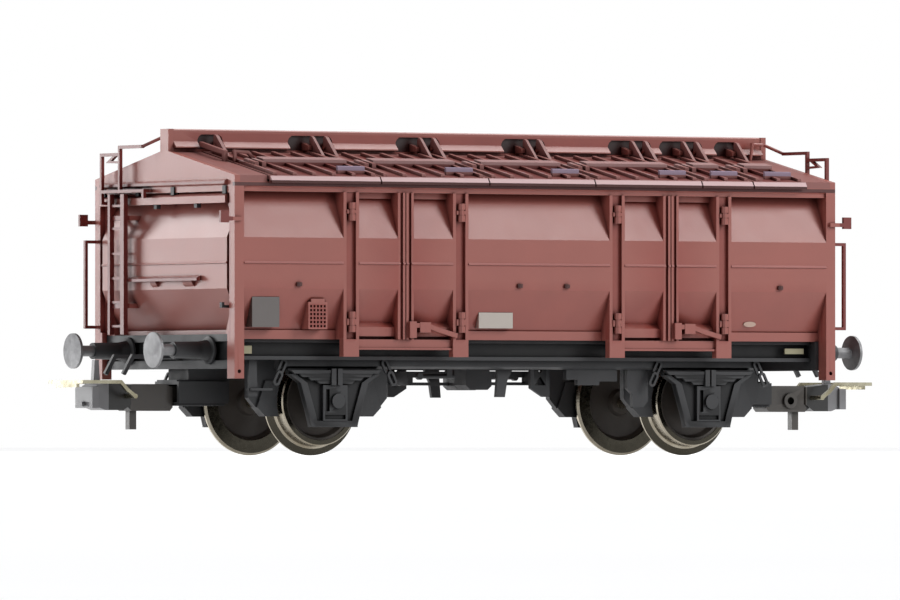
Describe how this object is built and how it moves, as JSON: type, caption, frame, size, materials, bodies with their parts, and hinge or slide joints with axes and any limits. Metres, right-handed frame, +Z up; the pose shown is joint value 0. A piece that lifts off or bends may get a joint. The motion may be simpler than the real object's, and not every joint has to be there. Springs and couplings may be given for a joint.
{
  "type": "small-scale hinged-roof railway wagon model",
  "caption": "Two-axle model goods wagon with bulged side walls, double doors, a ridged roof of hinged lids, ladders, buffers and loop couplers.",
  "frame": {"origin": "bottom centre of the bounding box, at the underside of the wheel flanges, midway along and across", "axes": "+X along the wagon towards its right end, +Y across towards the far side, +Z up"},
  "size_m": [0.1248, 0.0366, 0.0415],
  "materials": {
    "body_paint": "satin oxide red",
    "roof_paint": "satin dark oxide red",
    "floor_paint": "matt",
    "frame_plastic": "matt black",
    "plate_paint": "matt grey",
    "buffer_face": "turned",
    "nickel": "nickel plated",
    "wheel_disc": "matt dark brown",
    "coupler_plastic": "matt",
    "coupler_wire": "blackened"
  },
  "bodies": {
    "wagon_body": {"load_floor": "floor_paint", "side_panels": "body_paint", "door_leaves": "body_paint", "door_posts": "body_paint", "door_sills": "body_paint", "corner_posts": "body_paint", "end_walls": "body_paint", "gables": "body_paint", "ridge_beam": "body_paint", "eaves_beams": "body_paint", "roof_end_panels": "roof_paint", "lid_hinge_pins": "body_paint", "ladders": "body_paint", "ladder_rails": "body_paint", "end_bars": "body_paint", "lamp_irons": "body_paint", "corner_handles": "body_paint", "door_hinges": "body_paint", "door_latches": "body_paint", "rope_hooks": "body_paint", "card_boxes": "body_paint", "blank_plates": "plate_paint", "solebars": "frame_plastic", "headstocks": "frame_plastic", "buffer_sleeves": "frame_plastic", "buffer_heads": "buffer_face", "axle_guards": "frame_plastic", "axleboxes": "frame_plastic", "leaf_springs": "frame_plastic", "spring_shackles": "frame_plastic", "brake_blocks": "frame_plastic", "brake_rigging": "frame_plastic", "foot_steps": "frame_plastic", "coupler_pockets": "frame_plastic"},
    "wheelset_left": {"axle_left": "nickel", "wheel_discs_left": "wheel_disc", "tyres_left": "nickel"},
    "wheelset_right": {"axle_right": "nickel", "wheel_discs_right": "wheel_disc", "tyres_right": "nickel"},
    "coupler_left": {"coupler_head_left": "coupler_plastic"},
    "coupler_loop_left": {"coupler_loop_left": "coupler_wire"},
    "coupler_right": {"coupler_head_right": "coupler_plastic"},
    "coupler_loop_right": {"coupler_loop_right": "coupler_wire"},
    "lid_near_1": {"lid_near_1": "roof_paint"},
    "lid_far_1": {"lid_far_1": "roof_paint"},
    "lid_near_2": {"lid_near_2": "roof_paint"},
    "lid_far_2": {"lid_far_2": "roof_paint"},
    "lid_near_3": {"lid_near_3": "roof_paint"},
    "lid_far_3": {"lid_far_3": "roof_paint"},
    "lid_near_4": {"lid_near_4": "roof_paint"},
    "lid_far_4": {"lid_far_4": "roof_paint"},
    "lid_near_5": {"lid_near_5": "roof_paint"},
    "lid_far_5": {"lid_far_5": "roof_paint"},
    "lid_near_6": {"lid_near_6": "roof_paint"},
    "lid_far_6": {"lid_far_6": "roof_paint"}
  },
  "joints": [
    {"name": "wheelset_left_spin", "type": "hinge", "parent": "wagon_body", "child": "wheelset_left", "pos_m": [-0.0282, 0, 0.00685], "axis": [0, 1, 0], "continuous": true},
    {"name": "wheelset_right_spin", "type": "hinge", "parent": "wagon_body", "child": "wheelset_right", "pos_m": [0.0282, 0, 0.00685], "axis": [0, 1, 0], "continuous": true},
    {"name": "coupler_left_swing", "type": "hinge", "parent": "wagon_body", "child": "coupler_left", "pos_m": [-0.0425, 0, 0.0076], "axis": [0, 0, 1], "range_deg": [-12, 12], "stiffness_Nm_per_rad": 0.0002},
    {"name": "coupler_left_loop_lift", "type": "hinge", "parent": "coupler_left", "child": "coupler_loop_left", "pos_m": [-0.052, 0, 0.0075], "axis": [0, 1, 0], "range_deg": [0, 20]},
    {"name": "coupler_right_swing", "type": "hinge", "parent": "wagon_body", "child": "coupler_right", "pos_m": [0.0425, 0, 0.0076], "axis": [0, 0, 1], "range_deg": [-12, 12], "stiffness_Nm_per_rad": 0.0002},
    {"name": "coupler_right_loop_lift", "type": "hinge", "parent": "coupler_right", "child": "coupler_loop_right", "pos_m": [0.052, 0, 0.0075], "axis": [0, -1, 0], "range_deg": [0, 20]},
    {"name": "lid_near_1_hinge", "type": "hinge", "parent": "wagon_body", "child": "lid_near_1", "pos_m": [-0.0323, -0.0019, 0.0393], "axis": [-1, 0, 0], "range_deg": [0, 80]},
    {"name": "lid_far_1_hinge", "type": "hinge", "parent": "wagon_body", "child": "lid_far_1", "pos_m": [0.0323, 0.0019, 0.0393], "axis": [1, 0, 0], "range_deg": [0, 80]},
    {"name": "lid_near_2_hinge", "type": "hinge", "parent": "wagon_body", "child": "lid_near_2", "pos_m": [-0.01607, -0.0019, 0.0393], "axis": [-1, 0, 0], "range_deg": [0, 80]},
    {"name": "lid_far_2_hinge", "type": "hinge", "parent": "wagon_body", "child": "lid_far_2", "pos_m": [0.01607, 0.0019, 0.0393], "axis": [1, 0, 0], "range_deg": [0, 80]},
    {"name": "lid_near_3_hinge", "type": "hinge", "parent": "wagon_body", "child": "lid_near_3", "pos_m": [0, -0.0019, 0.0393], "axis": [-1, 0, 0], "range_deg": [0, 80]},
    {"name": "lid_far_3_hinge", "type": "hinge", "parent": "wagon_body", "child": "lid_far_3", "pos_m": [0, 0.0019, 0.0393], "axis": [1, 0, 0], "range_deg": [0, 80]},
    {"name": "lid_near_4_hinge", "type": "hinge", "parent": "wagon_body", "child": "lid_near_4", "pos_m": [0.01615, -0.0019, 0.0393], "axis": [-1, 0, 0], "range_deg": [0, 80]},
    {"name": "lid_far_4_hinge", "type": "hinge", "parent": "wagon_body", "child": "lid_far_4", "pos_m": [-0.01615, 0.0019, 0.0393], "axis": [1, 0, 0], "range_deg": [0, 80]},
    {"name": "lid_near_5_hinge", "type": "hinge", "parent": "wagon_body", "child": "lid_near_5", "pos_m": [0.02825, -0.0019, 0.0393], "axis": [-1, 0, 0], "range_deg": [0, 80]},
    {"name": "lid_far_5_hinge", "type": "hinge", "parent": "wagon_body", "child": "lid_far_5", "pos_m": [-0.02825, 0.0019, 0.0393], "axis": [1, 0, 0], "range_deg": [0, 80]},
    {"name": "lid_near_6_hinge", "type": "hinge", "parent": "wagon_body", "child": "lid_near_6", "pos_m": [0.03633, -0.0019, 0.0393], "axis": [-1, 0, 0], "range_deg": [0, 80]},
    {"name": "lid_far_6_hinge", "type": "hinge", "parent": "wagon_body", "child": "lid_far_6", "pos_m": [-0.03633, 0.0019, 0.0393], "axis": [1, 0, 0], "range_deg": [0, 80]}
  ]
}
